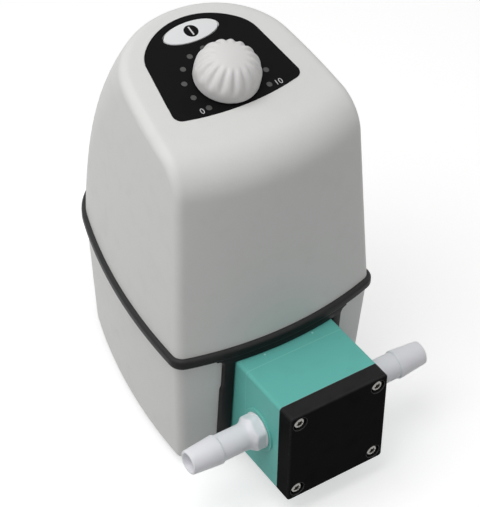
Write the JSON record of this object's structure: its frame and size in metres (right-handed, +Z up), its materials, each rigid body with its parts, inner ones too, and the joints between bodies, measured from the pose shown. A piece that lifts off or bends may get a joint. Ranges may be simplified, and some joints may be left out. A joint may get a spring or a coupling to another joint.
{
  "type": "liquid transfer pump",
  "caption": "Bench-top diaphragm pump for liquids: a tapered casing with a sealed joint, a square pump head with hose nozzles, a flow knob and a push button.",
  "frame": {"origin": "on the table, below the middle of the whole pump's box", "axes": "+Z up, +X from the inlet nozzle to the outlet nozzle, +Y from the pump head to the cable gland"},
  "size_m": [0.1172, 0.187, 0.1801],
  "materials": {
    "casing": "fine moulded grain, light warm grey",
    "seal_black": "semi-gloss black moulded seal",
    "foot_rubber": "matte black",
    "screw_steel": "plain stainless steel",
    "plate_black": "satin black",
    "head_green": "moulded sea green plastic",
    "valve_white": "plain white plastic",
    "valve_rubber": "soft black",
    "nozzle_milky": "milky natural plastic",
    "diaphragm_rubber": "soft black with a coated face",
    "alloy": "machined aluminium",
    "bearing_steel": "ground steel",
    "can_steel": "plated steel",
    "magnet": "dark sintered ferrite",
    "core_steel": "stacked sheet steel",
    "copper": "enamelled copper",
    "carbon": "pressed carbon",
    "insulator": "brown moulded insulation",
    "panel_black": "satin black film",
    "lens_grey": "grey-white clear plastic",
    "lamp": "small clear lamp body",
    "knob_white": "off-white, matte",
    "button_white": "cool white, smooth",
    "component_black": "black moulded component",
    "board_green": "solder-masked board",
    "transformer_iron": "varnished laminations",
    "gland_black": "black moulded plastic"
  },
  "bodies": {
    "housing": {"upper_housing": "casing", "lower_housing": "casing", "parting_seal": "seal_black", "feet": "foot_rubber", "case_screws": "screw_steel", "head_plate": "plate_black", "head_screws": "screw_steel", "port_block": "head_green", "valve_plate": "valve_white", "inlet_nozzle": "nozzle_milky", "outlet_nozzle": "nozzle_milky", "nozzle_rings": "valve_rubber", "diaphragm": "diaphragm_rubber", "crankcase": "head_green", "crankcase_screws": "screw_steel", "motor_end_plate": "alloy", "motor_can": "can_steel", "motor_magnets": "magnet", "motor_brushes": "carbon", "brush_holder": "insulator", "lower_bearing": "bearing_steel", "upper_bearing": "bearing_steel", "panel_overlay": "panel_black", "scale_lenses": "lens_grey", "scale_lamps": "lamp", "flow_control": "component_black", "control_nut": "screw_steel", "button_switch": "component_black", "control_board": "board_green", "board_screws": "screw_steel", "power_board": "board_green", "transformer": "transformer_iron", "capacitors": "component_black", "heat_sink": "alloy", "terminal_block": "insulator", "gland_body": "gland_black", "gland_washer": "valve_rubber", "cable_seal": "valve_rubber", "dome_nut": "gland_black", "gland_locknut": "gland_black"},
    "crankshaft": {"motor_shaft": "bearing_steel", "armature_core": "core_steel", "armature_windings": "copper", "commutator": "copper", "eccentric": "screw_steel", "counterweight": "screw_steel"},
    "rod": {"connecting_rod": "alloy", "rod_bearing": "bearing_steel", "diaphragm_support": "alloy", "diaphragm_stud": "screw_steel"},
    "knob": {"flow_knob": "knob_white", "control_spindle": "screw_steel"},
    "button": {"power_button": "button_white", "switch_plunger": "component_black"},
    "inlet_valve_disc": {"inlet_valve": "valve_rubber"},
    "outlet_valve_disc": {"outlet_valve": "valve_rubber"}
  },
  "joints": [
    {"name": "crank_spin", "type": "hinge", "parent": "housing", "child": "crankshaft", "pos_m": [0, -0.01945, 0.036], "axis": [0, 0, 1], "continuous": true},
    {"name": "rod_big_end", "type": "hinge", "parent": "crankshaft", "child": "rod", "pos_m": [0, -0.01785, 0.036], "axis": [0, 0, 1], "continuous": true, "deforming": ["diaphragm"]},
    {"name": "knob_turn", "type": "hinge", "parent": "housing", "child": "knob", "pos_m": [0, -0.00825, 0.165], "axis": [0, 0.2588, -0.9659], "range_deg": [0, 250]},
    {"name": "button_press", "type": "slide", "parent": "housing", "child": "button", "axis": [0, 0.2588, -0.9659], "range_m": [0, 0.0008], "stiffness_N_per_m": 900, "springref_m": -0.0015},
    {"name": "inlet_valve_lift", "type": "slide", "parent": "housing", "child": "inlet_valve_disc", "axis": [0, 1, 0], "range_m": [0, 0.0008]},
    {"name": "outlet_valve_lift", "type": "slide", "parent": "housing", "child": "outlet_valve_disc", "axis": [0, -1, 0], "range_m": [0, 0.0008]}
  ],
  "couplings": [
    {"joint": "rod_big_end", "follows": "crank_spin", "ratio": -1}
  ]
}
